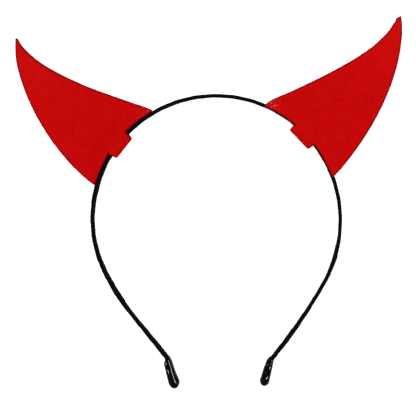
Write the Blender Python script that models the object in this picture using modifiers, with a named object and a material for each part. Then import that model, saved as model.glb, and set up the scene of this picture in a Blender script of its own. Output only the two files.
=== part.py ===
"""Devil horns headband: a wound spring hoop with dipped end caps and two horns of folded felt.

The headband lies on its back. X runs to the right of the hoop, Y from the ends up over the crown,
and Z from the back of the headband to its front. Lengths are in metres and angles in degrees.
"""
import math

import bmesh
import bpy
from mathutils import Vector

# Hoop: a flat spring strip wound in ribbon, bent on edge into a crown with two legs
CROWN_RADIUS = 0.0645
BAND_THICKNESS = 0.0016
BAND_DEPTH = 0.0048
BAND_ROUNDING = 0.0004
END_BEND_RADIUS = 0.0050
STATION_SPACING = 0.0032
END_BEND_STEPS = 4

# End caps: dipped over the last straight stretch of each leg
CAP_LENGTH = 0.0158
CAP_WIDTH = 0.0047
CAP_DEPTH = 0.0070
CAP_END_WALL = 0.0025

# Horns: felt cut in one piece, two leaves joined by a tab that is folded round the band
FELT = 0.0018
GLUE_LINE = 0.0002
HORN_HEIGHT = 0.0758
HORN_BASE = 0.0503
TIP_LEAN = 0.0098
TIP_WIDTH = 0.0008
TAB_NECK = 0.0145
TAB_END = 0.0124
TAB_SLACK = 0.0011
OPENING_FLAT = 0.0012
OPENING_FADE = 0.0110

# Air left between pieces that touch on the real headband
CLEARANCE = 0.0003

# One row for each leg, from the crown's top down. Radii and the straight are shares of CROWN_RADIUS.
# The cap is a share of CAP_LENGTH and CAP_WIDTH, and cap_start the share of CAP_LENGTH by which its
# mouth lies before the end of the last bend.
LEG_COLUMNS = ("name", "side", "crown_turn", "cheek_radius", "cheek_turn", "temple_radius",
               "temple_turn", "straight", "end_turn", "cap_length", "cap_width", "cap_start")
LEGS = (
    ("left", -1, 88.8, 0.94, 26.3, 1.86, 14.2, 0.40, 23.4, 1.05, 1.00, 0.06),
    ("right", 1, 91.3, 1.05, 28.2, 4.32, 9.4, 0.03, 23.4, 0.93, 0.94, 0.17),
)

# One row for each horn. around is its angle from the crown's top, size a share of HORN_HEIGHT and
# HORN_BASE, lap the share of the band's outer half that the leaves cover, gape how far they stand
# open at the base's corners, slack a share of TAB_SLACK. The four edge angles are measured from the
# horn's axis, positive towards the leg: upper edge at its corner and at the tip, then lower edge.
HORN_COLUMNS = ("name", "side", "around", "size", "lap", "gape", "slack",
                "upper_base", "upper_tip", "lower_base", "lower_tip")
HORNS = (
    ("left", -1, 51.9, 0.985, 0.0, 0.0, 1.0, 17.2, -20.4, 2.3, -56.8),
    ("right", 1, 46.1, 1.02, 1.2, 1.0, 1.6, 15.7, -19.1, -1.4, -54.8),
)
# Handle lengths of the edge curves as shares of their chords: at the base, at the tip
UPPER_HANDLES = (0.28, 0.30)
LOWER_HANDLES = (0.30, 0.30)

# Sections of an end cap from its mouth to its round end. along is a share of the cap's length,
# width and depth are shares of CAP_WIDTH and CAP_DEPTH, square is the oval's exponent.
CAP_COLUMNS = ("along", "width", "depth", "square")
CAP_SECTIONS = (
    (0.00, 0.66, 0.99, 3.2),
    (0.06, 0.73, 1.00, 3.2),
    (0.20, 0.83, 1.00, 3.0),
    (0.36, 0.88, 1.00, 2.8),
    (0.52, 0.93, 1.00, 2.6),
    (0.66, 0.99, 1.00, 2.4),
    (0.78, 1.00, 1.00, 2.3),
    (0.87, 0.91, 0.93, 2.2),
    (0.94, 0.70, 0.76, 2.1),
    (0.98, 0.42, 0.48, 2.0),
)
CAP_POINTS = 20

LEAF_SIDE_CELLS = 6
LEAF_ROWS = 16
TAB_CELLS = 4
FOLD_STEPS = 5


def rows(columns, table):
    """The table's rows as dictionaries by column name."""
    return [dict(zip(columns, row)) for row in table]


def smooth_step(share):
    """0 below 0, 1 above 1, and a soft ramp between."""
    share = min(max(share, 0.0), 1.0)
    return share * share * (3.0 - 2.0 * share)


def make_material(name, colour, roughness):
    """A Principled material in the piece's own colour."""
    material = bpy.data.materials.new(name)
    material.use_nodes = True
    shader = material.node_tree.nodes["Principled BSDF"]
    shader.inputs["Base Color"].default_value = (*colour, 1.0)
    shader.inputs["Roughness"].default_value = roughness
    shader.inputs["Metallic"].default_value = 0.0
    return material


def add_object(name, mesh, collection, parent):
    """An object on the mesh, in the collection and under the parent empty."""
    piece = bpy.data.objects.new(name, mesh)
    collection.objects.link(piece)
    piece.parent = parent
    return piece


def arc_stations(start, heading, radius, turn, least=2):
    """Stations along an arc after its start, as points and headings. A positive turn is clockwise."""
    sign = math.copysign(1.0, turn)
    centre = start + Vector((math.sin(heading), -math.cos(heading))) * radius * sign
    count = max(least, math.ceil(radius * abs(turn) / STATION_SPACING))
    stations = []
    for step in range(1, count + 1):
        angle = heading - turn * step / count
        out = Vector((-math.sin(angle), math.cos(angle))) * radius * sign
        stations.append((centre + out, angle))
    return stations


def line_stations(start, heading, length):
    """Stations along a straight stretch after its start."""
    along = Vector((math.cos(heading), math.sin(heading)))
    count = max(1, math.ceil(length / STATION_SPACING))
    return [(start + along * length * step / count, heading) for step in range(1, count + 1)]


def leg_line(leg, past_bend):
    """Centre line of one side from the crown's top to a length past the end of its last bend.

    Gives the points, and the length of line up to the end of that bend.
    """
    stations = [(Vector((0.0, CROWN_RADIUS)), 0.0)]
    for radius, turn in (
        (CROWN_RADIUS, leg["crown_turn"]),
        (CROWN_RADIUS * leg["cheek_radius"], leg["cheek_turn"]),
        (CROWN_RADIUS * leg["temple_radius"], leg["temple_turn"]),
    ):
        stations += arc_stations(*stations[-1], radius, math.radians(turn))
    stations += line_stations(*stations[-1], CROWN_RADIUS * leg["straight"])
    stations += arc_stations(*stations[-1], END_BEND_RADIUS, -math.radians(leg["end_turn"]), END_BEND_STEPS)
    to_bend_end = line_length([point for point, _ in stations])
    stations += line_stations(*stations[-1], past_bend)
    return [Vector((point.x * leg["side"], point.y)) for point, _ in stations], to_bend_end


def line_length(points):
    """Length of the line through the points."""
    return sum((after - point).length for point, after in zip(points, points[1:]))


def point_along(points, distance):
    """The point at a distance along the line through the points."""
    for point, after in zip(points, points[1:]):
        step = (after - point).length
        if distance <= step:
            return point.lerp(after, distance / step)
        distance -= step
    return points[-1].copy()


def cap_places(leg):
    """Length of a leg's cap, and how far past the end of the last bend the cap reaches."""
    length = CAP_LENGTH * leg["cap_length"]
    return length, length - CAP_LENGTH * leg["cap_start"]


def strip_object(name, points, thickness, depth, rounding, collection, parent):
    """A flat strip on edge along the points, its long edges rounded."""
    mesh = bpy.data.meshes.new(name)
    strip = bmesh.new()
    back = [strip.verts.new((point.x, point.y, -depth / 2)) for point in points]
    front = [strip.verts.new((point.x, point.y, depth / 2)) for point in points]
    for at in range(len(points) - 1):
        strip.faces.new((back[at], back[at + 1], front[at + 1], front[at]))
    strip.to_mesh(mesh)
    strip.free()
    piece = add_object(name, mesh, collection, parent)
    wall = piece.modifiers.new("Thickness", "SOLIDIFY")
    wall.thickness = thickness
    wall.offset = 0.0
    wall.use_even_offset = True
    edges = piece.modifiers.new("Rounded edges", "BEVEL")
    edges.width = rounding
    edges.segments = 2
    edges.limit_method = "ANGLE"
    edges.angle_limit = math.radians(50)
    return piece


def make_band(parts, legs, parent):
    """The wound hoop, from inside one end cap over the crown to inside the other."""
    halves = []
    for leg in legs:
        _, reach = cap_places(leg)
        points, _ = leg_line(leg, reach - CAP_END_WALL - CLEARANCE)
        halves.append(points)
    points = list(reversed(halves[0])) + halves[1][1:]
    band = strip_object("wrapped_band", points, BAND_THICKNESS, BAND_DEPTH, BAND_ROUNDING, parts, parent)
    band.data.materials.append(make_material("black_ribbon", (0.010, 0.010, 0.016), 0.65))
    band.data.shade_smooth()
    return band


def oval_ring(cap, centre, along, width, depth, square):
    """A ring of points round a cap's axis, between an ellipse and a rectangle."""
    across = Vector((-along.y, along.x, 0.0))
    ring = []
    for index in range(CAP_POINTS):
        angle = math.tau * index / CAP_POINTS
        wide = math.copysign(abs(math.cos(angle)) ** (2.0 / square), math.cos(angle))
        deep = math.copysign(abs(math.sin(angle)) ** (2.0 / square), math.sin(angle))
        ring.append(cap.verts.new(centre + across * wide * width / 2 + Vector((0, 0, deep * depth / 2))))
    return ring


def make_cap(parts, cutters, leg, parent):
    """One end cap, lofted along the end of its leg and bored out for the band."""
    name = "end_cap_" + leg["name"]
    length, reach = cap_places(leg)
    line, to_bend_end = leg_line(leg, reach)
    mouth = to_bend_end + reach - length

    cap = bmesh.new()
    rings = []
    for section in rows(CAP_COLUMNS, CAP_SECTIONS):
        at = mouth + length * section["along"]
        before = point_along(line, at - BAND_THICKNESS)
        after = point_along(line, at + BAND_THICKNESS)
        along = (after - before).normalized().to_3d()
        centre = point_along(line, at).to_3d()
        width = CAP_WIDTH * leg["cap_width"] * section["width"]
        depth = CAP_DEPTH * section["depth"]
        rings.append(oval_ring(cap, centre, along, width, depth, section["square"]))
    cap.faces.new(rings[0])
    for near, far in zip(rings, rings[1:]):
        for index in range(CAP_POINTS):
            after = (index + 1) % CAP_POINTS
            cap.faces.new((near[index], far[index], far[after], near[after]))
    pole = cap.verts.new(line[-1].to_3d())
    for index in range(CAP_POINTS):
        cap.faces.new((rings[-1][index], pole, rings[-1][(index + 1) % CAP_POINTS]))
    bmesh.ops.recalc_face_normals(cap, faces=cap.faces)
    mesh = bpy.data.meshes.new(name)
    cap.to_mesh(mesh)
    cap.free()
    mesh.shade_smooth()

    piece = add_object(name, mesh, parts, parent)
    mesh.materials.append(make_material("glossy_cap_" + leg["name"], (0.006, 0.006, 0.008), 0.12))

    bore, _ = leg_line(leg, reach - CAP_END_WALL)
    while line_length(bore) > 2 * length:
        del bore[0]
    socket = strip_object(name + "_socket", bore, BAND_THICKNESS + 2 * CLEARANCE,
                          BAND_DEPTH + 2 * CLEARANCE, BAND_ROUNDING + CLEARANCE, cutters, parent)
    socket.hide_render = True
    socket.display_type = "WIRE"
    cut = piece.modifiers.new("Socket", "BOOLEAN")
    cut.operation = "DIFFERENCE"
    cut.solver = "EXACT"
    cut.object = socket
    return piece


def edge_curve(corner, tip, base_angle, tip_angle, handles):
    """A horn's edge as a function of the share from its base corner to its tip."""
    chord = (tip - corner).length
    leave = Vector((math.sin(math.radians(base_angle)), math.cos(math.radians(base_angle))))
    arrive = Vector((math.sin(math.radians(tip_angle)), math.cos(math.radians(tip_angle))))
    near = corner + leave * chord * handles[0]
    far = tip - arrive * chord * handles[1]

    def at(share):
        rest = 1.0 - share
        return (corner * rest ** 3 + near * 3 * rest ** 2 * share
                + far * 3 * rest * share ** 2 + tip * share ** 3)
    return at


def column_places(half_base, half_neck):
    """Places across the base, as shares from -1 to 1, with a column on each side of the tab."""
    neck = half_neck / half_base
    outer = [neck + (1.0 - neck) * cell / LEAF_SIDE_CELLS for cell in range(1, LEAF_SIDE_CELLS + 1)]
    middle = [neck * (2 * cell / TAB_CELLS - 1) for cell in range(TAB_CELLS + 1)]
    return [-place for place in reversed(outer)] + middle + outer


def make_horn(parts, horn, parent):
    """One horn: the front leaf and half the tab, mirrored to the back and given the felt's thickness.

    The pattern lies in the horn's own frame: X along the band towards the leg, Y out from the
    crown's centre along the horn's axis, and Z forward from the middle of the band's depth.
    """
    name = "horn_" + horn["name"]
    side = horn["side"]
    half_base = HORN_BASE * horn["size"] / 2
    outer_face = CROWN_RADIUS + BAND_THICKNESS / 2
    inner_face = CROWN_RADIUS - BAND_THICKNESS / 2
    base_radius = outer_face + CLEARANCE - horn["lap"] * (BAND_THICKNESS / 2 + CLEARANCE)
    open_height = BAND_DEPTH / 2 + CLEARANCE + FELT / 2
    closed_height = (FELT + GLUE_LINE) / 2

    def base_point(across):
        return Vector((across, math.sqrt(base_radius ** 2 - across ** 2)))

    def leaf_height(point):
        """Half the distance between the leaves' middles: open at the band, glued further out."""
        out = point.length - outer_face - OPENING_FLAT
        beside = (abs(point.x) - TAB_NECK / 2) / (half_base - TAB_NECK / 2)
        spread = 1.0 - (1.0 - horn["gape"]) * smooth_step(beside)
        opened = spread * (1.0 - smooth_step(out / OPENING_FADE))
        return closed_height + (open_height - closed_height) * opened

    tip = Vector((-TIP_LEAN, CROWN_RADIUS + HORN_HEIGHT * horn["size"]))
    blunt = Vector((TIP_WIDTH / 2, 0.0))
    upper = edge_curve(base_point(-half_base), tip - blunt, horn["upper_base"], horn["upper_tip"],
                       UPPER_HANDLES)
    lower = edge_curve(base_point(half_base), tip + blunt, horn["lower_base"], horn["lower_tip"],
                       LOWER_HANDLES)
    places = column_places(half_base, TAB_NECK / 2)

    felt = bmesh.new()

    def vertex(point, height):
        return felt.verts.new((point.x * side, point.y, height))

    leaf = []
    for row in range(LEAF_ROWS + 1):
        share = (row / LEAF_ROWS) ** 1.25
        points = []
        for place in places:
            across = upper(share).lerp(lower(share), (place + 1) / 2)
            chord_point = upper(0.0).lerp(lower(0.0), (place + 1) / 2)
            bulge = base_point(place * half_base) - chord_point
            point = across + bulge * (1.0 - share) ** 3
            points.append(vertex(point, leaf_height(point)))
        leaf.append(points)

    # The tab runs on from the base over the band, turns a tight corner and ends at the middle
    fold_radius = 0.9 * FELT
    tab_middle = inner_face - TAB_SLACK * horn["slack"] - FELT / 2
    fold_start = tab_middle + fold_radius
    profile = [(fold_start, open_height)]
    for step in range(1, FOLD_STEPS + 1):
        angle = math.pi / 2 * step / FOLD_STEPS
        profile.append((fold_start - fold_radius * math.sin(angle),
                        open_height - fold_radius * (1.0 - math.cos(angle))))
    profile.append((tab_middle, 0.0))
    first = LEAF_SIDE_CELLS
    tab = [leaf[0][first:first + TAB_CELLS + 1]]
    for distance, height in profile:
        shrink = (base_radius - distance) / (base_radius - tab_middle)
        half_width = TAB_NECK / 2 + (TAB_END - TAB_NECK) / 2 * shrink
        points = []
        for cell in range(TAB_CELLS + 1):
            across = half_width * (2 * cell / TAB_CELLS - 1)
            points.append(vertex(Vector((across, distance)), height))
        tab.append(points)

    for grid in (leaf, tab):
        for near, far in zip(grid, grid[1:]):
            for left, right, far_right, far_left in zip(near, near[1:], far[1:], far):
                felt.faces.new((left, right, far_right, far_left))
    bmesh.ops.recalc_face_normals(felt, faces=felt.faces)
    mesh = bpy.data.meshes.new(name)
    felt.to_mesh(mesh)
    felt.free()

    piece = add_object(name, mesh, parts, parent)
    piece.rotation_euler.z = -side * math.radians(horn["around"])
    back = piece.modifiers.new("Back leaf", "MIRROR")
    back.use_axis = (False, False, True)
    back.merge_threshold = 0.00002
    wall = piece.modifiers.new("Felt", "SOLIDIFY")
    wall.thickness = FELT
    wall.offset = 0.0
    wall.use_even_offset = True
    wall.use_quality_normals = True
    mesh.materials.append(make_material("red_felt_" + horn["name"], (0.60, 0.004, 0.006), 0.95))
    return piece


def stand_on_origin(pieces, parent):
    """Moves the parent so that the headband's box has the origin under its middle."""
    bpy.context.view_layer.update()
    graph = bpy.context.evaluated_depsgraph_get()
    points = []
    for piece in pieces:
        shaped = piece.evaluated_get(graph)
        mesh = shaped.to_mesh()
        points += [shaped.matrix_world @ vertex.co for vertex in mesh.vertices]
        shaped.to_mesh_clear()
    low = Vector([min(point[axis] for point in points) for axis in range(3)])
    high = Vector([max(point[axis] for point in points) for axis in range(3)])
    parent.location = Vector((-(low.x + high.x) / 2, -(low.y + high.y) / 2, -low.z))


def main():
    for old in list(bpy.data.objects):
        bpy.data.objects.remove(old, do_unlink=True)
    parts = bpy.data.collections.new("devil_horns_headband")
    cutters = bpy.data.collections.new("cutters")
    for collection in (parts, cutters):
        bpy.context.scene.collection.children.link(collection)
    centre = bpy.data.objects.new("crown_centre", None)
    parts.objects.link(centre)

    legs = rows(LEG_COLUMNS, LEGS)
    pieces = [make_band(parts, legs, centre)]
    pieces += [make_cap(parts, cutters, leg, centre) for leg in legs]
    pieces += [make_horn(parts, horn, centre) for horn in rows(HORN_COLUMNS, HORNS)]
    stand_on_origin(pieces, centre)


main()
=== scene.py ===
import math

import bmesh
import bpy
import numpy as np
from mathutils import Matrix, Quaternion, Vector, geometry, noise


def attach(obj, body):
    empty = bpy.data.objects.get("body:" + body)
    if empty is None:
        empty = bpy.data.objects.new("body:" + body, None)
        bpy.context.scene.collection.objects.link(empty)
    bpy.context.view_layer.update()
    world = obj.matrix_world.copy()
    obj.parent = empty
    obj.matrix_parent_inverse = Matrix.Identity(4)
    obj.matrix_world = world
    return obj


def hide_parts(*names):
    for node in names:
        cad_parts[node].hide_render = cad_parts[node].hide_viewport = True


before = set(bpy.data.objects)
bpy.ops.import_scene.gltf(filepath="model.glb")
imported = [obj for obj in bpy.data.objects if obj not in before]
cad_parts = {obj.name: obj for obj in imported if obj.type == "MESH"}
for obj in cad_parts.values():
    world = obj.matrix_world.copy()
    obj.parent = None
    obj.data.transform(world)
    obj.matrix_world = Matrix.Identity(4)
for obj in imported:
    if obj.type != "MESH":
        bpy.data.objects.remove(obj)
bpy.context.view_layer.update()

# The hoop is a springy strip stood on edge and bent to the head: a round crown, cheeks that close in,
# and a small outward kick at each end. Black satin ribbon is wound round it in a long spiral, each
# turn lapping over the one before, and is glued down at both ends.
CROWN = Vector((0.003806, -0.009073, 0.0045))
CROWN_RADIUS = 0.0645
KICK_RADIUS = 0.0050
LEGS = {
    "left": {"side": -1, "bends": ((0.0645, 88.8), (0.06063, 26.3), (0.11997, 14.2)), "straight": 0.0258,
             "past_kick": 0.016390},
    "right": {"side": 1, "bends": ((0.0645, 91.3), (0.067725, 28.2), (0.27864, 9.4)), "straight": 0.001935,
              "past_kick": 0.012600},
}
KICK_TURN = 23.4
ROUTE_STEP = 0.0008
# The hoop stops this far short of its caps' round ends
END_INSIDE_CAP = 0.0028
STRIP_THICKNESS = 0.00156
STRIP_DEPTH = 0.00470
RIBBON_PITCH = 0.0101
RIBBON_STEP = 0.00020
RIBBON_LAP = 1 / 28
RIB_SPACING = 0.00055
RIB_SLANT = 0.0075
WEFT_THREADS = 26
# How thick the winding has built up, every 12 mm from the crown's top down each leg
TABLE_SPACING = 0.0120
BUILD_UP = {
    "left": (1.02, 1.06, 1.10, 1.06, 1.02, 1.02, 1.08, 1.16, 1.00,
             0.96, 1.06, 1.15, 1.27, 1.18, 1.08, 1.17, 1.10),
    "right": (0.99, 0.99, 1.04, 1.10, 1.10, 1.14, 1.16, 1.02, 0.95,
              0.92, 1.02, 1.16, 0.99, 0.94, 1.02, 1.14, 1.10),
}
# How far the strip twists out of upright at the same places, in degrees
TWIST = {
    "left": (1.5, 3.5, 5.0, 3.0, 2.0, 2.0, 4.5, 11.0, 4.0, 1.0, 5.4, 8.4, 12.5, 1.0, 5.5, 8.5, 0.0),
    "right": (2.0, 2.5, 3.0, 5.5, 5.5, 6.5, 7.5, 5.0, 2.5, 0.6, 11.0, 2.5, 2.6, 6.4, 10.8, 8.0, 0.0),
}


def leg_route(leg, past_kick):
    """A leg's centre line from the crown's top to a length past its kick, and its length up to the kick."""
    point = Vector((0.0, CROWN_RADIUS))
    heading = 0.0
    route = [point.copy()]

    def follow_bend(point, heading, radius, turn):
        sign = math.copysign(1.0, turn)
        middle = point + Vector((math.sin(heading), -math.cos(heading))) * radius * sign
        count = max(math.ceil(radius * abs(turn) / ROUTE_STEP), 10)
        for step in range(1, count + 1):
            angle = heading - turn * step / count
            route.append(middle + Vector((-math.sin(angle), math.cos(angle))) * radius * sign)
        return route[-1].copy(), heading - turn

    def follow_straight(point, heading, length):
        along = Vector((math.cos(heading), math.sin(heading)))
        count = max(math.ceil(length / ROUTE_STEP), 1)
        route.extend(point + along * length * step / count for step in range(1, count + 1))
        return route[-1].copy()

    for radius, turn in leg["bends"]:
        point, heading = follow_bend(point, heading, radius, math.radians(turn))
    point = follow_straight(point, heading, leg["straight"])
    point, heading = follow_bend(point, heading, KICK_RADIUS, -math.radians(KICK_TURN))
    to_kick = sum((after - before).length for before, after in zip(route, route[1:]))
    follow_straight(point, heading, past_kick)
    return [CROWN + Vector((at.x * leg["side"], at.y, 0.0)) for at in route], to_kick


def add_node(tree, kind, settings=None, inputs=None):
    """A node with its settings, whose inputs take a plain value or another node's output."""
    node = tree.nodes.new(kind)
    for name, value in (settings or {}).items():
        setattr(node, name, value)
    for name, value in (inputs or {}).items():
        if isinstance(value, bpy.types.NodeSocket):
            tree.links.new(value, node.inputs[name])
        else:
            node.inputs[name].default_value = value
    return node


def reckon(tree, operation, first, second=0.0, third=0.0):
    """The answer of a maths node."""
    return add_node(tree, "ShaderNodeMath", {"operation": operation},
                    {0: first, 1: second, 2: third}).outputs[0]


def add_up(tree, *parts):
    """The sum of several outputs, each times its share."""
    total = reckon(tree, "MULTIPLY", *parts[-1])
    for part in parts[-2::-1]:
        total = reckon(tree, "ADD", reckon(tree, "MULTIPLY", *part), total)
    return total


def new_tree_sockets(tree, sizes):
    """The tree's geometry in and out, and one named input for each size and for the material."""
    face = tree.interface
    face.new_socket("Geometry", in_out="INPUT", socket_type="NodeSocketGeometry")
    for name in sizes:
        face.new_socket(name, in_out="INPUT", socket_type="NodeSocketFloat")
    face.new_socket("Material", in_out="INPUT", socket_type="NodeSocketMaterial")
    face.new_socket("Geometry", in_out="OUTPUT", socket_type="NodeSocketGeometry")
    return tree.nodes.new("NodeGroupInput").outputs, tree.nodes.new("NodeGroupOutput")


def make_up(name, source, tree, sizes, material):
    """Runs a node tree on a source object and gives its result as a plain mesh object of that name."""
    bpy.context.scene.collection.objects.link(source)
    modifier = source.modifiers.new("Making", "NODES")
    modifier.node_group = tree
    values = dict(sizes, Material=material)
    for item in tree.interface.items_tree:
        if item.in_out == "INPUT" and item.name in values:
            modifier[item.identifier] = values[item.name]
    graph = bpy.context.evaluated_depsgraph_get()
    mesh = bpy.data.meshes.new_from_object(source.evaluated_get(graph), depsgraph=graph)
    mesh.name = name
    piece = bpy.data.objects.new(name, mesh)
    bpy.context.scene.collection.objects.link(piece)
    source.modifiers.remove(modifier)
    bpy.data.objects.remove(source, do_unlink=True)
    return piece


def start_material(name):
    """A new material, its tree and its Principled shader."""
    material = bpy.data.materials.new(name)
    material.use_nodes = True
    tree = material.node_tree
    return material, tree, tree.nodes["Principled BSDF"]


satin, tree, shader = start_material("black_satin_ribbon")
wound = add_node(tree, "ShaderNodeUVMap", {"uv_map": "wound"}).outputs["UV"]
along_around = add_node(tree, "ShaderNodeSeparateXYZ", inputs={0: wound}).outputs
turns = reckon(tree, "SUBTRACT", reckon(tree, "DIVIDE", along_around["X"], RIBBON_PITCH), along_around["Y"])
share = reckon(tree, "FRACT", turns)
# Each turn is lighter at its lapped edge: partly the selvedge's own tone, partly a painted highlight
from_edge = reckon(tree, "MINIMUM", share, reckon(tree, "SUBTRACT", 1.0, share))
selvedge_and_highlight = add_node(tree, "ShaderNodeMapRange", inputs={
    "Value": from_edge, "From Min": 0.010, "From Max": 0.045, "To Min": 1.0, "To Max": 0.0}).outputs[0]
# The satin's ribs run across the ribbon, about two to a millimetre
slanted = reckon(tree, "ADD", along_around["X"], reckon(tree, "MULTIPLY", along_around["Y"], RIB_SLANT))
ribs = reckon(tree, "SINE", reckon(tree, "MULTIPLY", slanted, math.tau / RIB_SPACING))
weft = reckon(tree, "SINE", reckon(tree, "MULTIPLY", turns, math.tau * WEFT_THREADS))
weave = reckon(tree, "MULTIPLY", ribs, weft)
place = add_node(tree, "ShaderNodeTexCoord").outputs["Object"]
slubs = add_node(tree, "ShaderNodeTexNoise", inputs={
    "Vector": place, "Scale": 700.0, "Detail": 3.0, "Roughness": 0.6}).outputs["Fac"]
creases = add_node(tree, "ShaderNodeTexNoise", inputs={
    "Vector": place, "Scale": 170.0, "Detail": 2.0}).outputs["Fac"]
tone = add_up(tree, (weave, 0.10), (slubs, 0.55), (selvedge_and_highlight, 0.45))
colours = add_node(tree, "ShaderNodeValToRGB", inputs={"Fac": tone})
colours.color_ramp.elements[0].position = 0.10
colours.color_ramp.elements[0].color = (0.0006, 0.0005, 0.0018, 1)
colours.color_ramp.elements[1].position = 0.95
colours.color_ramp.elements[1].color = (0.0042, 0.0036, 0.0100, 1)
relief = add_up(tree, (weave, 0.35), (slubs, 0.7), (creases, 1.2))
bump = add_node(tree, "ShaderNodeBump", inputs={"Strength": 0.45, "Distance": 0.00006, "Height": relief})
tree.links.new(colours.outputs["Color"], shader.inputs["Base Color"])
tree.links.new(bump.outputs["Normal"], shader.inputs["Normal"])
tree.links.new(reckon(tree, "MULTIPLY_ADD", slubs, 0.25, 0.42), shader.inputs["Roughness"])
shader.inputs["Specular IOR Level"].default_value = 0.025
shader.inputs["Sheen Weight"].default_value = 0.004
shader.inputs["Sheen Roughness"].default_value = 0.4
shader.inputs["Sheen Tint"].default_value = (0.35, 0.38, 0.60, 1)

tree = bpy.data.node_groups.new("Ribbon wound on a strip", "GeometryNodeTree")
given, result = new_tree_sockets(tree, ("Strip Thickness", "Strip Depth", "Edge Rounding", "Station Spacing",
                                        "Ribbon Pitch", "Ribbon Step", "Ribbon Lap"))
line = add_node(tree, "GeometryNodeResampleCurve", {"mode": "LENGTH"},
                {"Curve": given["Geometry"], "Length": given["Station Spacing"]}).outputs[0]
line = add_node(tree, "GeometryNodeSetCurveNormal", {"mode": "Z_UP"}, {"Curve": line}).outputs[0]
distance = add_node(tree, "GeometryNodeSplineParameter").outputs["Length"]
kept = add_node(tree, "GeometryNodeCaptureAttribute", {"domain": "POINT"}, {"Geometry": line})
kept.capture_items.new("FLOAT", "along")
tree.links.new(distance, kept.inputs["along"])
section = add_node(tree, "GeometryNodeCurvePrimitiveQuadrilateral", {"mode": "RECTANGLE"},
                   {"Width": given["Strip Thickness"], "Height": given["Strip Depth"]}).outputs[0]
section = add_node(tree, "GeometryNodeFilletCurve", {"mode": "POLY"},
                   {"Curve": section, "Radius": given["Edge Rounding"], "Count": 4}).outputs[0]
section = add_node(tree, "GeometryNodeResampleCurve", {"mode": "COUNT"},
                   {"Curve": section, "Count": 48}).outputs[0]
turned = add_node(tree, "GeometryNodeCaptureAttribute", {"domain": "POINT"}, {"Geometry": section})
turned.capture_items.new("FLOAT", "around")
tree.links.new(add_node(tree, "GeometryNodeSplineParameter").outputs["Factor"], turned.inputs["around"])
swept = add_node(tree, "GeometryNodeCurveToMesh", inputs={
    "Curve": kept.outputs["Geometry"], "Profile Curve": turned.outputs["Geometry"],
    "Fill Caps": True}).outputs[0]
along = kept.outputs["along"]
around = turned.outputs["around"]
# Each turn of the ribbon starts steeply at its lap and sinks slowly to the next
share = reckon(tree, "FRACT", reckon(tree, "SUBTRACT",
                                     reckon(tree, "DIVIDE", along, given["Ribbon Pitch"]), around))
rise = reckon(tree, "MINIMUM", reckon(tree, "DIVIDE", share, given["Ribbon Lap"]),
              reckon(tree, "SUBTRACT", 1.0, share))
lift = add_node(tree, "ShaderNodeVectorMath", {"operation": "SCALE"},
                {0: add_node(tree, "GeometryNodeInputNormal").outputs[0],
                 "Scale": reckon(tree, "MULTIPLY", rise, given["Ribbon Step"])}).outputs[0]
lapped = add_node(tree, "GeometryNodeSetPosition", inputs={"Geometry": swept, "Offset": lift}).outputs[0]
# The row of faces that closes the section counts on to 1, and doesn't fall back to 0
whole_face = add_node(tree, "GeometryNodeFieldOnDomain", {"domain": "FACE", "data_type": "FLOAT"},
                      {"Value": around}).outputs[0]
seam = reckon(tree, "GREATER_THAN", reckon(tree, "SUBTRACT", whole_face, around), 0.25)
flat = add_node(tree, "ShaderNodeCombineXYZ", inputs={
    "X": along, "Y": reckon(tree, "ADD", around, seam)}).outputs[0]
marked = add_node(tree, "GeometryNodeStoreNamedAttribute", {"data_type": "FLOAT2", "domain": "CORNER"},
                  {"Geometry": lapped, "Name": "wound", "Value": flat}).outputs[0]
smooth = add_node(tree, "GeometryNodeSetShadeSmooth", inputs={"Geometry": marked}).outputs[0]
whole = add_node(tree, "GeometryNodeRealizeInstances", inputs={"Geometry": smooth}).outputs[0]
finish = add_node(tree, "GeometryNodeSetMaterial", inputs={"Geometry": whole, "Material": given["Material"]})
tree.links.new(finish.outputs[0], result.inputs[0])

halves, builds, twists = [], [], []
for name in ("left", "right"):
    half = leg_route(LEGS[name], LEGS[name]["past_kick"] - END_INSIDE_CAP)[0]
    down = np.cumsum([0.0] + [(after - before).length for before, after in zip(half, half[1:])])
    halves.append(half)
    for table, found in ((BUILD_UP, builds), (TWIST, twists)):
        places = np.arange(len(table[name])) * TABLE_SPACING
        found.append(np.interp(down, places, table[name]).tolist())
route = list(reversed(halves[0])) + halves[1][1:]
build = list(reversed(builds[0])) + builds[1][1:]
twist = list(reversed(twists[0])) + twists[1][1:]
curve = bpy.data.curves.new("hoop_line", "CURVE")
curve.dimensions = "3D"
spline = curve.splines.new("POLY")
spline.points.add(len(route) - 1)
for point, at, thick, turn in zip(spline.points, route, build, twist):
    point.co = (*at, 1.0)
    point.radius = thick
    point.tilt = -math.radians(turn)
hoop = make_up("wound_ribbon_hoop", bpy.data.objects.new("hoop_line", curve), tree,
               {"Strip Thickness": STRIP_THICKNESS, "Strip Depth": STRIP_DEPTH, "Edge Rounding": 0.00045,
                "Station Spacing": 0.00030, "Ribbon Pitch": RIBBON_PITCH, "Ribbon Step": RIBBON_STEP,
                "Ribbon Lap": RIBBON_LAP}, satin)
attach(hoop, "root")
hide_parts("wrapped_band")

# The end caps are soft black vinyl. Each end of the wound hoop is dipped and left to set, so the skin
# is glossy and a little lumpy, thin at its mouth where it grips the ribbon and fat at its round end.
CAP_DEPTH = 0.0070
# slant is how much further the mouth reaches on one side, belly a bulge on one side towards the round
# end, aside a shift of the whole skin, and lumps the height of the drips that dried on it
CAPS = {
    "left": {"length": 0.01730, "width": 0.00532, "slant": 0.0013, "belly": 0.00052, "aside": -0.00004,
             "lumps": 0.00005},
    "right": {"length": 0.01526, "width": 0.00482, "slant": -0.0002, "belly": 0.00010, "aside": 0.00008,
              "lumps": 0.00021},
}
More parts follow.
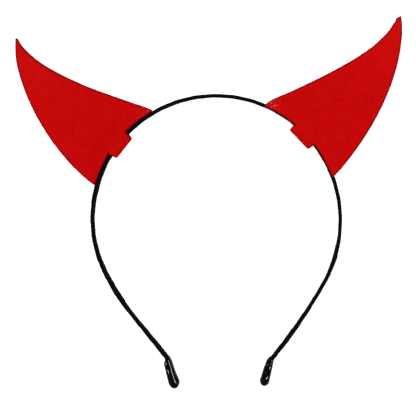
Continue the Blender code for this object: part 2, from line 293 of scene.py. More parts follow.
# Share along the cap, share of its width, share of its depth, squareness of the oval
CAP_FORM = (
    (0.00, 0.57, 0.94, 3.2), (0.03, 0.63, 0.98, 3.2), (0.10, 0.75, 1.00, 3.1), (0.20, 0.83, 1.00, 3.0),
    (0.36, 0.88, 1.00, 2.8), (0.52, 0.93, 1.00, 2.6), (0.66, 0.99, 1.00, 2.4), (0.78, 1.00, 1.00, 2.3),
    (0.87, 1.00, 1.00, 2.2), (0.94, 1.00, 1.00, 2.1), (0.98, 1.00, 1.00, 2.0),
)
ROUND_END_FROM = 0.78
CAP_RINGS = 84
CAP_POINTS = 64
SOCKET_WALL = 0.0025
SOCKET_RINGS = 8
SOCKET_MOUTH = 0.0015
# Width, depth, squareness and share of the skin's lumps, in the lip after the distance from the mouth
SOCKET_SECTION = (0.0023, 0.0054, 5.0, 0.0)
LIP = ((0.0004, 0.00232, 0.00545, 4.5, 0.0), (0.0001, 0.00240, 0.00560, 4.0, 0.1))
SLANT_LENGTH = 0.0042
BELLY_AT = 0.80
BELLY_SPREAD = 0.16
BEND_SOFTENING = 0.0012
# Scale and height of each octave
DRIPS = ((330.0, 1.0), (900.0, 0.42))

vinyl, tree, shader = start_material("black_dipped_vinyl")
place = add_node(tree, "ShaderNodeTexCoord").outputs["Object"]
lumps = add_node(tree, "ShaderNodeTexNoise", inputs={
    "Vector": place, "Scale": 420.0, "Detail": 1.0, "Roughness": 0.45}).outputs["Fac"]
skin = add_node(tree, "ShaderNodeTexNoise", inputs={
    "Vector": place, "Scale": 2600.0, "Detail": 2.0}).outputs["Fac"]
relief = reckon(tree, "MULTIPLY_ADD", skin, 0.06, lumps)
bump = add_node(tree, "ShaderNodeBump", inputs={"Strength": 0.22, "Distance": 0.00018, "Height": relief})
smears = add_node(tree, "ShaderNodeTexNoise", inputs={
    "Vector": place, "Scale": 260.0, "Detail": 4.0, "Roughness": 0.6}).outputs["Fac"]
colours = add_node(tree, "ShaderNodeValToRGB", inputs={"Fac": smears})
colours.color_ramp.elements[0].position = 0.35
colours.color_ramp.elements[0].color = (0.0004, 0.0004, 0.0011, 1)
colours.color_ramp.elements[1].position = 0.75
colours.color_ramp.elements[1].color = (0.0012, 0.0012, 0.0026, 1)
tree.links.new(colours.outputs["Color"], shader.inputs["Base Color"])
tree.links.new(bump.outputs["Normal"], shader.inputs["Normal"])
tree.links.new(reckon(tree, "MULTIPLY_ADD", smears, 0.08, 0.02), shader.inputs["Roughness"])
shader.inputs["Specular IOR Level"].default_value = 0.32


def add_octaves(spot, octaves, seed=Vector()):
    """Noise at a spot, added up over octaves of a scale and a height each."""
    return sum(noise.noise(spot * scale + seed) * height for scale, height in octaves)


def along_route(route, distance):
    """Place and direction at a distance along a route."""
    for before, after in zip(route, route[1:]):
        step = (after - before).length
        if distance <= step:
            return before.lerp(after, distance / step), (after - before).normalized()
        distance -= step
    return route[-1].copy(), (route[-1] - route[-2]).normalized()


def cap_sections(cap):
    """Sections from the bottom of a cap's socket out over its lip and along the skin to the round end."""
    sections = [(at, *SOCKET_SECTION)
                for at in np.linspace(cap["length"] - SOCKET_WALL, SOCKET_MOUTH, SOCKET_RINGS)]
    sections += LIP
    form = np.array(CAP_FORM)
    shares = np.sin(np.linspace(0.0, math.pi / 2, CAP_RINGS))
    for share in shares[:-1]:
        width, depth, square = (np.interp(share, form[:, 0], form[:, column]) for column in (1, 2, 3))
        if share > ROUND_END_FROM:
            past = (share - ROUND_END_FROM) / (1.0 - ROUND_END_FROM)
            round_end = math.sqrt(max(1.0 - past ** 2, 0.0))
            width, depth = width * round_end, depth * round_end ** 0.93
        sections.append((cap["length"] * share, cap["width"] * width, CAP_DEPTH * depth, square,
                         min(share * 6, 1.0)))
    return sections


def dip_cap(name):
    """One dipped cap, its skin drawn over the end of the hoop as rings with a pole at both ends."""
    cap = CAPS[name]
    past_kick = LEGS[name]["past_kick"]
    route, to_kick = leg_route(LEGS[name], past_kick)
    mouth = to_kick + past_kick - cap["length"]
    mesh = bmesh.new()
    rings = []
    for at, width, depth, square, loose in cap_sections(cap):
        # The skin ends on a slant at its mouth, and bellies out on one side towards the round end
        slant = cap["slant"] * (1.0 - min(max(at, 0.0) / SLANT_LENGTH, 1.0))
        belly = cap["belly"] * loose * math.exp(-((at / cap["length"] - BELLY_AT) / BELLY_SPREAD) ** 2)
        middle, _ = along_route(route, mouth + at)
        _, ahead = along_route(route, mouth + at + BEND_SOFTENING)
        _, behind = along_route(route, mouth + at - BEND_SOFTENING)
        along = (ahead + behind).normalized()
        across = Vector((-along.y, along.x, 0.0))
        ring = []
        for index in range(CAP_POINTS):
            angle = math.tau * index / CAP_POINTS
            wide = math.copysign(abs(math.cos(angle)) ** (2.0 / square), math.cos(angle))
            deep = math.copysign(abs(math.sin(angle)) ** (2.0 / square), math.sin(angle))
            aside = wide * width / 2 + belly * max(wide, 0.0) + cap["aside"] * loose
            out = across * aside + Vector((0.0, 0.0, deep * depth / 2))
            spot = middle + out + along * slant * (0.5 - wide / 2)
            swell = add_octaves(spot, DRIPS) * cap["lumps"]
            ring.append(mesh.verts.new(spot + out.normalized() * swell * loose))
        rings.append(ring)
    for near, far in zip(rings, rings[1:]):
        for index in range(CAP_POINTS):
            after = (index + 1) % CAP_POINTS
            mesh.faces.new((near[index], far[index], far[after], near[after]))
    for ring, at in ((rings[0], cap["length"] - SOCKET_WALL + 0.0001), (rings[-1], cap["length"])):
        pole = mesh.verts.new(along_route(route, mouth + at)[0])
        for index in range(CAP_POINTS):
            mesh.faces.new((ring[index], ring[(index + 1) % CAP_POINTS], pole))
    bmesh.ops.recalc_face_normals(mesh, faces=mesh.faces)
    data = bpy.data.meshes.new("dipped_cap_" + name)
    mesh.to_mesh(data)
    mesh.free()
    data.shade_smooth()
    data.materials.append(vinyl)
    piece = bpy.data.objects.new("dipped_cap_" + name, data)
    bpy.context.scene.collection.objects.link(piece)
    return piece


for name in ("left", "right"):
    cap = dip_cap(name)
    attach(cap, "root")
    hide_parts("end_cap_" + name)

# Each horn is cut from stiff red craft felt in one piece, two horn shapes joined by a short tab. The
# tab is folded round the hoop and the two leaves are glued together from a little way out to the tip.
# The knife leaves a firm, slightly hairy edge, whose colour is darkened as painted shade, and the very tips
# are darker.
FELT = 0.0018
GLUE_LINE = 0.0002
HORN_HEIGHT = 0.0758
HORN_BASE = 0.0503
TIP_LEAN = 0.0098
TIP_WIDTH = 0.0008
TAB_NECK = 0.0145
TAB_END = 0.0124
TAB_SLACK = 0.0011
OPENING_FLAT = 0.0012
OPENING_FADE = 0.0110
STRIP_FACE = 0.0008
STRIP_EDGE = 0.0024
AIR = 0.0003
FOLD_RADIUS = 0.9 * FELT
TAB_CORNER = 0.00025
TAB_SHIFT_FADE = 0.0020
UPPER_HANDLES = (0.28, 0.30)
LOWER_HANDLES = (0.30, 0.30)
SHOULDER_AT = 0.0022
SHOULDER_SPREAD = 0.0013
CUT_ROUNDING = 0.00024
CUT_SPREAD = 0.00042
# What the cut edge's own points carry as their distance from the cut
PAST_CUT = -0.0003
FELT_MESH = 0.00062
EDGE_STEP = 0.85 * FELT_MESH
KNIFE_POINTS = 400
BASE_POINTS = 120
TAB_POINTS = 60
MITRE_LIMIT = 0.35
# Scale and height of each octave
WARP = ((38.0, 0.00022),)
WARP_FADE = 0.020
UNEVEN_FACE = ((620.0, 0.00003), (180.0, 0.00004))
FRAYED_EDGE = ((1300.0, 0.00003), (420.0, 0.00003))
# around is the angle from the crown's top, lap the share of the hoop's outer half that the leaves cover,
# gape how far they stand open at the base's corners, slack the tab's looseness, upper and lower each
# edge's angles at its base and at the tip, and glint_margin how far the painted glints keep back from the
# corner
HORNS = {
    "left": {"side": -1, "around": 51.9, "size": 0.985, "lap": 0.0, "gape": 0.0, "slack": 1.2,
             "upper": (17.2, -22.0), "lower": (2.3, -56.8), "tip": (-0.0001, 0.0010), "shoulder": 0.0,
             "blunted": 0.0, "tab": (-0.0001, 0.0003), "glint_margin": 0.002, "seed": 3.0},
    "right": {"side": 1, "around": 46.1, "size": 1.02, "lap": 1.0, "gape": 1.0, "slack": 1.8,
              "upper": (15.7, -19.1), "lower": (-1.4, -54.8), "tip": (-0.00022, -0.00005),
              "shoulder": 0.00078, "blunted": 0.0005, "tab": (0.0009, 0.0001), "glint_margin": 0.0, "seed": 11.0},
}
# The hand that cut them wandered: how far out each edge lies, in hundredths of a millimetre, at these
# distances from the tip in millimetres
HAND_AT = (1, 3, 5.5, 9, 13.5, 19, 26, 35, 46, 58, 70, 78)
HAND = {
    "left": {"upper": (-4, -29, -31, -23, -13, -9, 13, 14, -4, -5, -19, -23),
             "lower": (-21, -24, -20, -9, -6, -19, -22, -20, -9, 4, 10, 6)},
    "right": {"upper": (-34, 20, 60, 15, 16, 0, 5, 18, 23, 15, 17, 44),
              "lower": (-20, -21, -21, -20, -31, -29, -22, -11, -2, 1, -3, 2)},
}
# The knife's cut edge in section: how far through the felt, and how far out from the face's own edge
CUT_SECTION = ((0.98, 0.30), (0.90, 0.66), (0.72, 0.90), (0.40, 1.0), (0.0, 0.96),
               (-0.40, 1.0), (-0.72, 0.90), (-0.90, 0.66), (-0.98, 0.30))

felt, tree, shader = start_material("red_craft_felt")
place = add_node(tree, "ShaderNodeTexCoord").outputs["Object"]
cut = add_node(tree, "ShaderNodeAttribute", {"attribute_name": "from_cut"}).outputs["Fac"]
tip = add_node(tree, "ShaderNodeAttribute", {"attribute_name": "from_tip"}).outputs["Fac"]
hairs = []
for turn, squeeze, seed in ((0.4, 6.0, 0.0), (1.5, 7.0, 4.0), (2.5, 6.5, 9.0)):
    laid = add_node(tree, "ShaderNodeMapping", {"vector_type": "TEXTURE"},
                    {"Vector": place, "Location": (seed, seed, 0), "Rotation": (0, 0, turn),
                     "Scale": (squeeze, 1.0, 1.0)}).outputs[0]
    hairs.append(add_node(tree, "ShaderNodeTexNoise", inputs={
        "Vector": laid, "Scale": 5200.0, "Detail": 2.0, "Roughness": 0.55, "Distortion": 0.3}).outputs["Fac"])
fibres = reckon(tree, "MAXIMUM", reckon(tree, "MAXIMUM", hairs[0], hairs[1]), hairs[2])
clumps = add_node(tree, "ShaderNodeTexNoise", inputs={
    "Vector": place, "Scale": 900.0, "Detail": 4.0, "Roughness": 0.65}).outputs["Fac"]
patches = add_node(tree, "ShaderNodeTexNoise", inputs={
    "Vector": place, "Scale": 160.0, "Detail": 3.0, "Roughness": 0.55}).outputs["Fac"]
tone = add_up(tree, (fibres, 0.45), (clumps, 0.55), (patches, 0.20))
reds = add_node(tree, "ShaderNodeValToRGB", inputs={"Fac": tone})
reds.color_ramp.elements[0].position = 0.43
reds.color_ramp.elements[0].color = (0.252, 0.0006, 0.0008, 1)
reds.color_ramp.elements[1].position = 0.91
reds.color_ramp.elements[1].color = (0.436, 0.0030, 0.0028, 1)
# Stray lighter hairs lie over the face, the felt is lighter towards its tip, and pale pink specks by the
# upper base corner are painted glints
strays = add_node(tree, "ShaderNodeTexNoise", inputs={
    "Vector": place, "Scale": 1500.0, "Detail": 3.0, "Roughness": 0.6}).outputs["Fac"]
strays = add_node(tree, "ShaderNodeMapRange", inputs={
    "Value": strays, "From Min": 0.62, "From Max": 0.74, "To Min": 0.0, "To Max": 0.22}).outputs[0]
pale = add_node(tree, "ShaderNodeMapRange", inputs={
    "Value": tip, "From Min": 0.004, "From Max": 0.050, "To Min": 0.10, "To Max": 0.0}).outputs[0]
lit = add_node(tree, "ShaderNodeMix", {"data_type": "RGBA"},
               {"Factor": reckon(tree, "MAXIMUM", strays, pale), 6: reds.outputs["Color"],
                7: (0.560, 0.0120, 0.0100, 1)}).outputs[2]
# Painted glints: pale pink specks fade in towards the upper base corner, standing in for light catching the
# felt there
corner = add_node(tree, "ShaderNodeAttribute", {"attribute_name": "from_corner"}).outputs["Fac"]
corner_glint_fade = add_node(tree, "ShaderNodeMapRange", inputs={
    "Value": corner, "From Min": 0.002, "From Max": 0.009, "To Min": 0.50, "To Max": 0.0}).outputs[0]
dots = add_node(tree, "ShaderNodeTexNoise", inputs={
    "Vector": place, "Scale": 1100.0, "Detail": 1.0}).outputs["Fac"]
dots = add_node(tree, "ShaderNodeMapRange", inputs={
    "Value": dots, "From Min": 0.60, "From Max": 0.66}).outputs[0]
painted_glints = reckon(tree, "MULTIPLY", dots, corner_glint_fade)
lit = add_node(tree, "ShaderNodeMix", {"data_type": "RGBA"},
               {"Factor": painted_glints, 6: lit, 7: (0.72, 0.34, 0.30, 1)}).outputs[2]
# The cut edge is darkened as painted shade where its rim turns from the light, and the very tip is darker
edge = add_node(tree, "ShaderNodeMapRange", inputs={
    "Value": cut, "From Min": -0.0001, "From Max": 0.0007, "To Min": 0.80, "To Max": 0.0}).outputs[0]
edge_shaded = add_node(tree, "ShaderNodeMix", {"data_type": "RGBA"},
                {"Factor": edge, 6: lit, 7: (0.150, 0.0008, 0.0020, 1)}).outputs[2]
# The very tip is coloured darker, along a ragged line
ragged = reckon(tree, "MULTIPLY_ADD", clumps, 0.0009, tip)
dark_tip = add_node(tree, "ShaderNodeMapRange", {"interpolation_type": "SMOOTHSTEP"}, {
    "Value": ragged, "From Min": 0.0010, "From Max": 0.0024, "To Min": 0.92, "To Max": 0.0}).outputs[0]
felt_colour = add_node(tree, "ShaderNodeMix", {"data_type": "RGBA"},
                {"Factor": dark_tip, 6: edge_shaded, 7: (0.035, 0.016, 0.018, 1)}).outputs[2]
relief = add_up(tree, (fibres, 0.9), (clumps, 0.9))
bump = add_node(tree, "ShaderNodeBump", inputs={"Strength": 0.55, "Distance": 0.00012, "Height": relief})
tree.links.new(felt_colour, shader.inputs["Base Color"])
tree.links.new(bump.outputs["Normal"], shader.inputs["Normal"])
tree.links.new(reckon(tree, "MULTIPLY_ADD", clumps, 0.15, 0.82), shader.inputs["Roughness"])
shader.inputs["Specular IOR Level"].default_value = 0.0
shader.inputs["Sheen Weight"].default_value = 0.04
shader.inputs["Sheen Roughness"].default_value = 0.5
shader.inputs["Sheen Tint"].default_value = (1.0, 0.06, 0.06, 1)


def to_line(points, starts, runs):
    """Each point's distance to the nearest of the runs."""
    nearest = np.full(len(points), 1e9)
    for start, run in zip(starts, runs):
        share = np.clip(((points - start) @ run) / max(run @ run, 1e-12), 0, 1)
        nearest = np.minimum(nearest, np.hypot(*(points - start - share[:, None] * run).T))
    return nearest


def knife_line(corner, tip, base_angle, tip_angle, handles):
    """Points along a horn's edge from its base corner to its tip."""
    chord = (tip - corner).length
    leave = Vector((math.sin(math.radians(base_angle)), math.cos(math.radians(base_angle))))
    arrive = Vector((math.sin(math.radians(tip_angle)), math.cos(math.radians(tip_angle))))
    return geometry.interpolate_bezier(corner, corner + leave * chord * handles[0],
                                       tip - arrive * chord * handles[1], tip, KNIFE_POINTS)


def measure_horn(horn):
    """The sizes that follow from a horn's row: its base arc, its tip and its fold round the hoop."""
    outer_face = CROWN_RADIUS + STRIP_FACE
    open_height = STRIP_EDGE + AIR + FELT / 2
    tab_middle = CROWN_RADIUS - STRIP_FACE - TAB_SLACK * horn["slack"] - FELT / 2
    fold_start = tab_middle + FOLD_RADIUS
    fold_arc = FOLD_RADIUS * math.pi / 2
    return {
        "outer_face": outer_face,
        "half_base": HORN_BASE * horn["size"] / 2,
        "base_radius": outer_face + AIR - horn["lap"] * (STRIP_FACE + AIR),
        "open_height": open_height,
        "tab_middle": tab_middle,
        "fold_start": fold_start,
        "fold_arc": fold_arc,
        "middle_line": fold_start - fold_arc - (open_height - FOLD_RADIUS),
        "tip": Vector((-TIP_LEAN, CROWN_RADIUS + HORN_HEIGHT * horn["size"])) + Vector(horn["tip"]),
    }


def base_point(size, x):
    """The point of a horn's base arc that lies a distance to one side of its middle."""
    return Vector((x, math.sqrt(size["base_radius"] ** 2 - x ** 2)))


def tab_side(size, shift):
    """One side of the unfolded tab, from its middle line to its neck. It narrows towards the middle."""
    neck = base_point(size, TAB_NECK / 2).y
    side = []
    for y in np.linspace(size["middle_line"], neck, TAB_POINTS):
        bent = min(max((size["fold_start"] - y) / size["fold_arc"], 0.0), 1.0)
        folded = size["fold_start"] - FOLD_RADIUS * math.sin(bent * math.pi / 2)
        reached = y if y > size["fold_start"] else folded
        shrink = (size["base_radius"] - reached) / (size["base_radius"] - size["tab_middle"])
        rounding = TAB_CORNER * (1.0 - math.sqrt(max(1.0 - bent ** 4, 0.0)))
        half_width = TAB_NECK / 2 + (TAB_END - TAB_NECK) / 2 * shrink - rounding
        side.append(Vector((half_width + shift * min((neck - y) / TAB_SHIFT_FADE, 1.0), y)))
    return side


def knife_stretches(name, size):
    """The knife's line round half the unfolded pattern, as stretches that meet at its corners."""
    horn = HORNS[name]
    tip, half_base = size["tip"], size["half_base"]
    blunt = Vector((TIP_WIDTH / 2, 0.0))
    lower = knife_line(base_point(size, half_base), tip + blunt, *horn["lower"], LOWER_HANDLES)
    upper = knife_line(base_point(size, -half_base), tip - blunt, *horn["upper"], UPPER_HANDLES)
    # The knife left the right horn's upper edge with a small shoulder just before its tip
    for index, point in enumerate(upper):
        from_end = (tip - blunt - point).length
        out = horn["shoulder"] * math.exp(-((from_end - SHOULDER_AT) / SHOULDER_SPREAD) ** 2)
        upper[index] = point - Vector((out, 0.0))
    for edge, wander, way in ((upper, HAND[name]["upper"], -1), (lower, HAND[name]["lower"], 1)):
        ways = [(after - before).normalized() for before, after in zip(edge, edge[1:])]
        for index, (point, ahead) in enumerate(zip(edge[:-1], ways)):
            far = 1000 * (tip - point).length
            out = way * np.interp(far, HAND_AT, wander) * 1e-5
            edge[index] = point + Vector((ahead.y, -ahead.x)) * out

    def base_line(end):
        return [base_point(size, x) for x in np.linspace(TAB_NECK / 2, end, BASE_POINTS)]

    def mirrored(run):
        return [Vector((-point.x, point.y)) for point in run[::-1]]

    # The right horn's upper base corner is snipped off a little short
    snipped_at = half_base - horn["blunted"]
    upper = [point for point in upper if point.x >= -snipped_at]
    upper_base = mirrored(base_line(snipped_at))
    snip = [[upper[0], upper_base[0]]] if horn["blunted"] else []
    upper_tab, lower_tab = horn["tab"]
    return [tab_side(size, lower_tab), base_line(half_base), lower, [lower[-1], upper[-1]], upper[::-1],
            *snip, upper_base, mirrored(tab_side(size, upper_tab))]


def walk_evenly(stretches):
    """Points round the stretches in millimetres, evenly spaced along each, so that the corners stay."""
    ring = []
    for stretch in stretches:
        cuts = np.array([point[:2] for point in stretch]) * 1000
        walked = np.concatenate([[0], np.cumsum(np.hypot(*np.diff(cuts, axis=0).T))])
        steps = max(int(walked[-1] / (EDGE_STEP * 1000)), 2)
        even = np.linspace(0, walked[-1], steps + 1)[1 if len(ring) else 0:]
        ring += np.column_stack([np.interp(even, walked, cuts[:, column]) for column in (0, 1)]).tolist()
    return np.array(ring)


def move_in(knife, middle_line):
    """The edge of the felt's faces: the knife's line, in millimetres, moved in by the cut's rounding."""
    rounding = CUT_ROUNDING * 1000
    runs = np.diff(knife, axis=0)
    ways = runs / np.linalg.norm(runs, axis=1)[:, None]
    before, after = np.vstack([[(0.0, 1.0)], ways]), np.vstack([ways, [(0.0, -1.0)]])
    both = before + after
    inward = np.column_stack([-both[:, 1], both[:, 0]])
    inward /= np.maximum(1.0 + (before * after).sum(axis=1), MITRE_LIMIT)[:, None]
    ring = knife + inward * rounding
    ring[[0, -1], 1] = middle_line * 1000
    # Points that come too near another stretch, in the inner corners, are left out
    clear = to_line(ring, knife[:-1], runs) > 0.96 * rounding
    clear[[0, -1]] = True
    return ring[clear]


def fill_flat(ring):
    """Points and triangles, in metres, that fill the half pattern inside its edge, and their area."""
    pitch = FELT_MESH * 1000
    across = int((ring[0, 0] - ring[-1, 0]) / pitch)
    fold_line = np.column_stack([np.linspace(ring[-1, 0], ring[0, 0], across + 1)[1:-1],
                                 np.full(across - 1, ring[0, 1])])
    outline = np.vstack([ring, fold_line])
    low, high = outline.min(axis=0), outline.max(axis=0)
    columns = np.arange(low[0], high[0], pitch)
    levels = np.arange(low[1], high[1], pitch * math.sqrt(3) / 2)
    grid = np.array([(x + (row % 2) * pitch / 2, y) for row, y in enumerate(levels) for x in columns])
    ends = np.roll(outline, -1, axis=0)
    inside = np.zeros(len(grid), bool)
    for (x0, y0), (x1, y1) in zip(outline, ends):
        if y0 != y1:
            crosses = (y0 > grid[:, 1]) != (y1 > grid[:, 1])
            inside ^= crosses & (grid[:, 0] < (x1 - x0) * (grid[:, 1] - y0) / (y1 - y0) + x0)
    grid = grid[inside]
    # Points that crowd the edge are left out
    grid = grid[to_line(grid, outline, ends - outline) > 0.55 * pitch]
    points = [Vector(point) for point in np.vstack([outline, grid]).tolist()]
    loop = list(range(len(outline)))
    # 1 keeps the triangles inside the loop and no others
    flat, _, triangles, _, _, _ = geometry.delaunay_2d_cdt(points, [], [loop], 1, 1e-7)
    flat = np.array([point[:] for point in flat]) / 1000
    triangles = np.array(triangles)
    corners = flat[triangles]
    one, two = corners[:, 1] - corners[:, 0], corners[:, 2] - corners[:, 0]
    cross = one[:, 0] * two[:, 1] - one[:, 1] * two[:, 0]
    triangles[cross < 0] = triangles[cross < 0][:, ::-1]
    return flat, triangles, float(np.abs(cross).sum()) / 2


def fold_over(flat, triangles, horn, size):
    """The folded middle sheet of both leaves, and which points of the pattern lie on the fold's middle."""
    x, y = flat.T
    fold_start, fold_arc, open_height = size["fold_start"], size["fold_arc"], size["open_height"]

    # The leaf is open beside the hoop and glued further out
    out = np.hypot(x, y) - size["outer_face"] - OPENING_FLAT
    beside = np.clip((np.abs(x) - TAB_NECK / 2) / (size["half_base"] - TAB_NECK / 2), 0, 1)
    spread = 1 - (1 - horn["gape"]) * beside ** 2 * (3 - 2 * beside)
    fade = np.clip(out / OPENING_FADE, 0, 1)
    opened = spread * (1 - fade ** 2 * (3 - 2 * fade))
    closed_height = (FELT + GLUE_LINE) / 2
    height = closed_height + (open_height - closed_height) * opened

    # The tab goes round the fold and straight down to its middle line
    bent = np.clip((fold_start - y) / fold_arc, 0, 1) * math.pi / 2
    on_tab = (np.abs(x) < TAB_NECK / 2 + 3 * AIR) & (y < fold_start)
    reach = np.where(on_tab, fold_start - FOLD_RADIUS * np.sin(bent), y)
    height = np.where(on_tab, open_height - FOLD_RADIUS * (1 - np.cos(bent)), height)
    height = np.where(on_tab & (y < fold_start - fold_arc), np.maximum(y - size["middle_line"], 0.0), height)

    # The back leaf mirrors the front one and shares the points on the middle line
    on_fold = y < size["middle_line"] + 1e-6
    height[on_fold] = 0.0
    mirrored = np.full(len(flat), -1)
    mirrored[on_fold] = np.nonzero(on_fold)[0]
    mirrored[~on_fold] = len(flat) + np.arange((~on_fold).sum())
    middle = np.vstack([np.column_stack([x, reach, height]), np.column_stack([x, reach, -height])[~on_fold]])
    return middle, np.vstack([triangles, mirrored[triangles][:, ::-1]]), on_fold


def walk_rim(triangles):
    """The open edge of a sheet of triangles, as one loop of its points."""
    directed = set()
    for a, b, c in triangles.tolist():
        directed |= {(a, b), (b, c), (c, a)}
    follows = {a: b for a, b in sorted(directed) if (b, a) not in directed}
    rim = [next(iter(follows))]
    while follows[rim[-1]] != rim[0] and len(rim) <= len(follows):
        rim.append(follows[rim[-1]])
    assert len(rim) == len(follows), "the felt's outline isn't one loop"
    return np.array(rim)


def give_thickness(middle, triangles, from_cut, seed):
    """Both faces of the felt and its cut edge round a middle sheet: points, faces, distances to the cut."""
    facing = np.cross(middle[triangles[:, 1]] - middle[triangles[:, 0]],
                      middle[triangles[:, 2]] - middle[triangles[:, 0]])
    normals = np.zeros_like(middle)
    for column in range(3):
        np.add.at(normals, triangles[:, column], facing)
    normals /= np.linalg.norm(normals, axis=1)[:, None]
    rim = walk_rim(triangles)
    along = middle[np.roll(rim, -1)] - middle[np.roll(rim, 1)]
    along /= np.linalg.norm(along, axis=1)[:, None]
    outward = np.cross(along, normals[rim])
    outward /= np.linalg.norm(outward, axis=1)[:, None]

    total = len(middle)
    layers = [middle + normals * FELT / 2, middle - normals * FELT / 2]
    rings = [rim]
    edge_distance = [from_cut, from_cut]
    for row, (depth, reach_out) in enumerate(CUT_SECTION):
        layer = middle[rim] + normals[rim] * depth * FELT / 2 + outward * reach_out * CUT_SPREAD
        for index, spot in enumerate(layer):
            layer[index] = spot + outward[index] * add_octaves(Vector(spot), FRAYED_EDGE, seed)
        rings.append(2 * total + row * len(rim) + np.arange(len(rim)))
        layers.append(layer)
        edge_distance.append(np.full(len(rim), PAST_CUT))
    rings.append(total + rim)
    vertices = np.vstack(layers)
    for index in range(2 * total):
        lumpy = add_octaves(Vector(vertices[index]), UNEVEN_FACE, seed)
        vertices[index] += normals[index % total] * lumpy * (1 if index < total else -1)
    faces = triangles.tolist() + (triangles[:, ::-1] + total).tolist()
    for near, far in zip(rings, rings[1:]):
        faces += np.column_stack([near, far, np.roll(far, -1), np.roll(near, -1)]).tolist()
    return vertices, faces, np.concatenate(edge_distance)


def cut_horn(name):
    """One horn: its flat pattern is cut, folded round the hoop at the tab, and given the felt's thickness."""
    horn = HORNS[name]
    size = measure_horn(horn)
    ring = move_in(walk_evenly(knife_stretches(name, size)), size["middle_line"])
    flat, triangles, half_area = fill_flat(ring)
    cut_line = ring / 1000
    cut_runs = np.diff(cut_line, axis=0)
    from_cut = to_line(flat, cut_line[:-1], cut_runs)
    middle, triangles, on_fold = fold_over(flat, triangles, horn, size)
    from_cut = np.concatenate([from_cut, from_cut[~on_fold]])

    # A slow warp of the whole horn, which fades out beside the hoop
    seed = Vector((horn["seed"], 0.0, 0.0))
    for index, (x, y, z) in enumerate(middle):
        warp = add_octaves(Vector((x, y, 0.0)), WARP, seed)
        middle[index, 2] = z + warp * min(max((y - size["base_radius"]) / WARP_FADE, 0.0), 1.0)
    vertices, faces, from_cut = give_thickness(middle, triangles, from_cut, seed)

    # Turn the horn to its place on the hoop
    vertices[:, 0] *= horn["side"]
    if horn["side"] < 0:
        faces = [face[::-1] for face in faces]
    spin = np.array(Matrix.Rotation(-horn["side"] * math.radians(horn["around"]), 3, "Z"))
    vertices = vertices @ spin.T + np.array(CROWN)
    mesh = bpy.data.meshes.new("felt_horn_" + name)
    mesh.from_pydata(vertices.tolist(), [], faces)
    mesh.shade_smooth()

    # Mark how far each point lies from the cut, from the tip and from the upper base corner, where glints are
    # painted
    def far_from(spot):
        there = np.array([spot.x * horn["side"], spot.y, 0.0]) @ spin.T + np.array(CROWN)
        return np.hypot(*(vertices - there).T[:2])

    upper_corner = base_point(size, -size["half_base"])
    for label, values in (("from_cut", from_cut), ("from_tip", far_from(size["tip"])),
                          ("from_corner", far_from(upper_corner) + horn["glint_margin"])):
        mesh.attributes.new(label, "FLOAT", "POINT").data.foreach_set("value", values.astype(np.float32))
    mesh.materials.append(felt)
    piece = bpy.data.objects.new("felt_horn_" + name, mesh)
    bpy.context.scene.collection.objects.link(piece)
    area = 2 * half_area + 2 * CUT_ROUNDING * float(np.hypot(*cut_runs.T).sum())
    width = float(np.ptp(flat[:, 0])) + 2 * CUT_ROUNDING
    length = 2 * float(flat[:, 1].max() - size["middle_line"] + CUT_ROUNDING)
    return piece, (width, length), area


for name in ("left", "right"):
    horn, flat_size, cut_area = cut_horn(name)
    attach(horn, "root")
    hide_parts("horn_" + name)

# The floor is a plain pale board under a dim sky. A soft box hangs over the camera, and a narrow strip
# low to each side only puts the glints on the caps.
FLOOR_HALF = 0.62
SKY_LIGHT = 0.08

board = bmesh.new()
bmesh.ops.create_grid(board, x_segments=2, y_segments=2, size=FLOOR_HALF)
data = bpy.data.meshes.new("pale_floor")
board.to_mesh(data)
board.free()
floor = bpy.data.objects.new("pale_floor", data)
bpy.context.scene.collection.objects.link(floor)
paint, tree, shader = start_material("pale_floor_paint")
place = add_node(tree, "ShaderNodeTexCoord").outputs["Object"]
cloud = add_node(tree, "ShaderNodeTexNoise", inputs={
    "Vector": place, "Scale": 3.0, "Detail": 2.0}).outputs["Fac"]
pale = add_node(tree, "ShaderNodeMix", {"data_type": "RGBA"},
                {"Factor": cloud, 6: (0.91, 0.91, 0.91, 1), 7: (0.93, 0.93, 0.93, 1)}).outputs[2]
# Glossy rays see the board dark grey, a painted shade on its mirror image in the caps and the ribbon,
# which mirror it darker than it is
dark_in_reflections = add_node(tree, "ShaderNodeMix", {"data_type": "RGBA"},
                   {"Factor": add_node(tree, "ShaderNodeLightPath").outputs["Is Glossy Ray"],
                    6: pale, 7: (0.16, 0.16, 0.17, 1)}).outputs[2]
tree.links.new(dark_in_reflections, shader.inputs["Base Color"])
shader.inputs["Roughness"].default_value = 0.9
shader.inputs["Specular IOR Level"].default_value = 0.1
data.materials.append(paint)

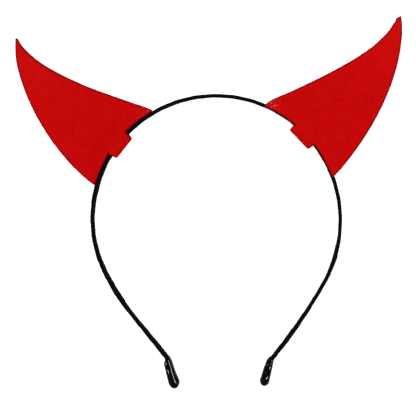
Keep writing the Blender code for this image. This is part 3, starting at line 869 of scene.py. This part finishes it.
world = bpy.data.worlds.new("soft_studio")
bpy.context.scene.world = world
world.use_nodes = True
tree = world.node_tree
seen = add_node(tree, "ShaderNodeLightPath").outputs["Is Camera Ray"]
sky = tree.nodes["Background"]
sky.inputs["Color"].default_value = (1.0, 1.0, 1.0, 1)
# The sky is white behind the board and dim as a light
tree.links.new(reckon(tree, "MAXIMUM", SKY_LIGHT, seen), sky.inputs["Strength"])

# Each lamp's place, width and length, power, roll in degrees, and whether it only makes glints
for name, place, size, power, roll, glints_only in (
    ("overhead_box", (0.088, 0.092, 1.72), (0.30, 0.30), 47.0, 0.0, False),
    ("right_box", (0.688, -0.180, 0.965), (0.13, 0.65), 11.5, -36.0, True),
    ("left_box", (-0.675, -0.335, 1.00), (0.08, 0.18), 2.0, 0.0, True),
):
    lamp = bpy.data.lights.new(name, "AREA")
    lamp.shape = "RECTANGLE"
    lamp.size, lamp.size_y = size
    lamp.energy = power
    light = bpy.data.objects.new(name, lamp)
    light.visible_glossy = glints_only
    light.visible_diffuse = not glints_only
    light.location = place
    aimed = (-Vector(place)).to_track_quat("-Z", "Y") @ Quaternion((0.0, 0.0, 1.0), math.radians(roll))
    light.rotation_euler = aimed.to_euler()
    bpy.context.scene.collection.objects.link(light)

# The camera stands where the photo was taken from: over a metre up and almost straight above the
# headband, a little to its right and towards the crown, with a long lens.
eye = Vector((0.06794, 0.05507, 1.1045))
target = Vector((-0.00036, -0.00283, 0.0045))
back = (eye - target).normalized()
right = Vector((0.0, 1.0, 0.0)).cross(back).normalized()
up = back.cross(right)
lens = bpy.data.cameras.new("camera")
lens.sensor_width = 36.0
lens.lens = 183.67
lens.clip_start = 0.05
lens.clip_end = 20.0
camera = bpy.data.objects.new("camera", lens)
camera.matrix_world = Matrix.Translation(eye) @ Matrix((right, up, back)).transposed().to_4x4()
bpy.context.scene.collection.objects.link(camera)
bpy.context.scene.camera = camera
bpy.context.scene.view_settings.view_transform = "Standard"
bpy.context.scene.view_settings.look = "None"
